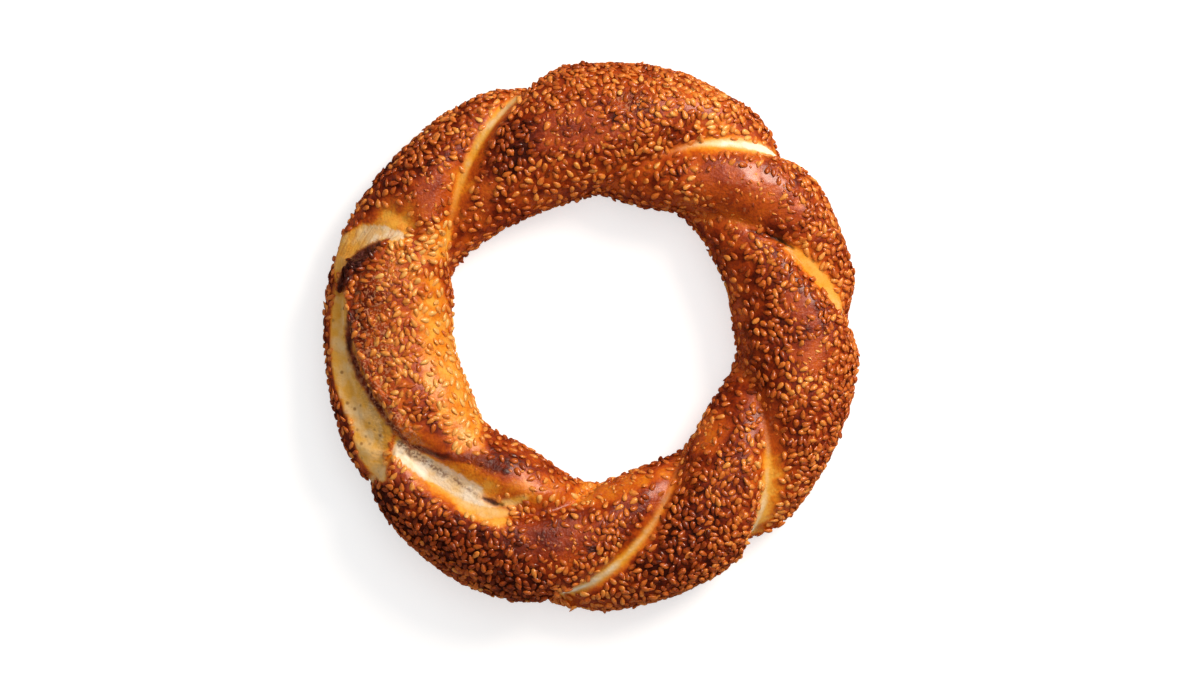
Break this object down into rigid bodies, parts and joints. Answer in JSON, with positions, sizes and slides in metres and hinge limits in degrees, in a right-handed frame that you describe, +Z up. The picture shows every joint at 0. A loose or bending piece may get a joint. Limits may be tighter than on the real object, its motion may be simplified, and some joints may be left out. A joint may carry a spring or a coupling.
{
  "type": "simit",
  "caption": "Baked ring of two twisted strands of dough, browned and crusted with sesame seeds, with pale seams and a burst side.",
  "frame": {"origin": "on the surface that the ring lies on, under the middle of its outline", "axes": "+Z up through the hole, +X to the right and +Y away from the viewer as seen from above in the picture"},
  "size_m": [0.1705, 0.1735, 0.0316],
  "materials": {
    "crust": "baked bread crust, satin molasses glaze, toasted sesame seeds and pale stretched dough in the seams"
  },
  "bodies": {
    "root": {"simit": "crust"}
  },
  "joints": []
}
